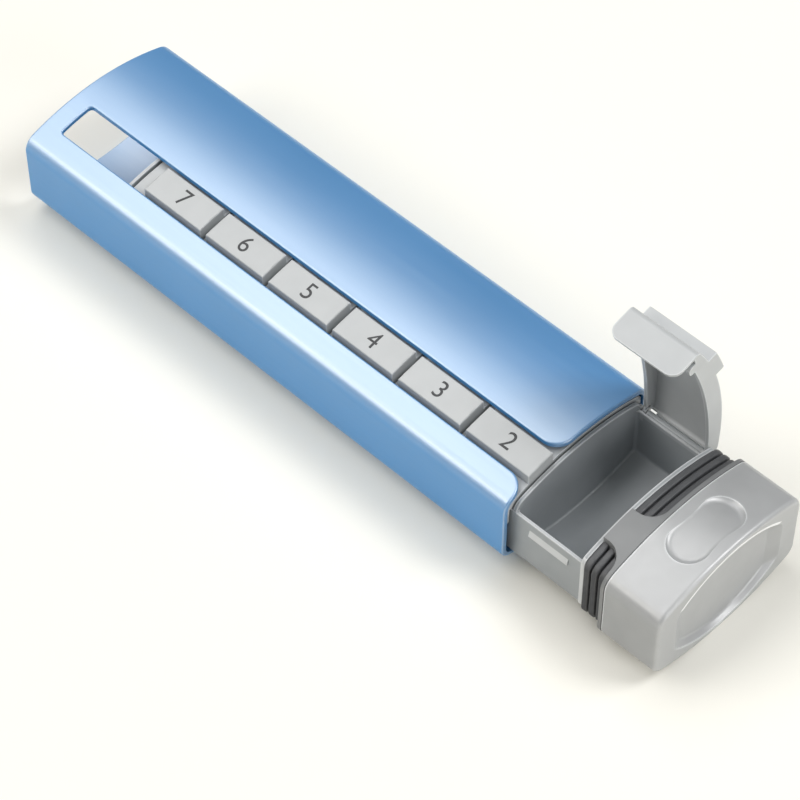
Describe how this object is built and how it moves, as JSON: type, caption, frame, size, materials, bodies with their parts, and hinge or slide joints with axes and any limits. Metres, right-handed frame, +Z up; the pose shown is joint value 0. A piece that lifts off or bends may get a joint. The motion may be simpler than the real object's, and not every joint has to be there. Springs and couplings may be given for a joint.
{
  "type": "weekly pill organizer",
  "caption": "Arched sleeve with a label slot, holding a sliding tray of hinged-lid pill compartments, drawn out by a pull cap with a rubber seal behind it.",
  "frame": {"origin": "middle of the flat strip along the sleeve's underside, which the object rests on", "axes": "+X along the sleeve towards the pull cap, +Y across towards the hinge rod, +Z up"},
  "size_m": [0.2136, 0.0511, 0.0637],
  "materials": {
    "sleeve": "blue anodised, satin",
    "tray": "moulded, semi-gloss",
    "lid": "moulded, semi-gloss",
    "cap": "moulded, semi-gloss",
    "seal": "smooth silicone rubber",
    "rod": "drawn stainless steel"
  },
  "bodies": {
    "sleeve": {"outer_sleeve": "sleeve"},
    "tray": {"pill_tray": "tray", "hinge_rod": "rod", "seal_gasket": "seal", "pull_cap": "cap"},
    "lid_one": {"lid_1": "lid"},
    "lid_two": {"lid_2": "lid"},
    "lid_three": {"lid_3": "lid"},
    "lid_four": {"lid_4": "lid"},
    "lid_five": {"lid_5": "lid"},
    "lid_six": {"lid_6": "lid"},
    "lid_seven": {"lid_7": "lid"}
  },
  "joints": [
    {"name": "tray_slide", "type": "slide", "parent": "sleeve", "child": "tray", "axis": [1, 0, 0], "range_m": [0, 0.136]},
    {"name": "lid_1_hinge", "type": "hinge", "parent": "tray", "child": "lid_one", "pos_m": [0.09465, 0.0223, 0.0189], "axis": [-1, 0, 0], "range_deg": [-75.6, 24.4]},
    {"name": "lid_2_hinge", "type": "hinge", "parent": "tray", "child": "lid_two", "pos_m": [0.07265, 0.0223, 0.0189], "axis": [-1, 0, 0], "range_deg": [0, 0.3]},
    {"name": "lid_3_hinge", "type": "hinge", "parent": "tray", "child": "lid_three", "pos_m": [0.05065, 0.0223, 0.0189], "axis": [-1, 0, 0], "range_deg": [0, 0.3]},
    {"name": "lid_4_hinge", "type": "hinge", "parent": "tray", "child": "lid_four", "pos_m": [0.02865, 0.0223, 0.0189], "axis": [-1, 0, 0], "range_deg": [0, 0.3]},
    {"name": "lid_5_hinge", "type": "hinge", "parent": "tray", "child": "lid_five", "pos_m": [0.00665, 0.0223, 0.0189], "axis": [-1, 0, 0], "range_deg": [0, 0.3]},
    {"name": "lid_6_hinge", "type": "hinge", "parent": "tray", "child": "lid_six", "pos_m": [-0.01535, 0.0223, 0.0189], "axis": [-1, 0, 0], "range_deg": [0, 0.3]},
    {"name": "lid_7_hinge", "type": "hinge", "parent": "tray", "child": "lid_seven", "pos_m": [-0.03735, 0.0223, 0.0189], "axis": [-1, 0, 0], "range_deg": [0, 0.3]}
  ]
}
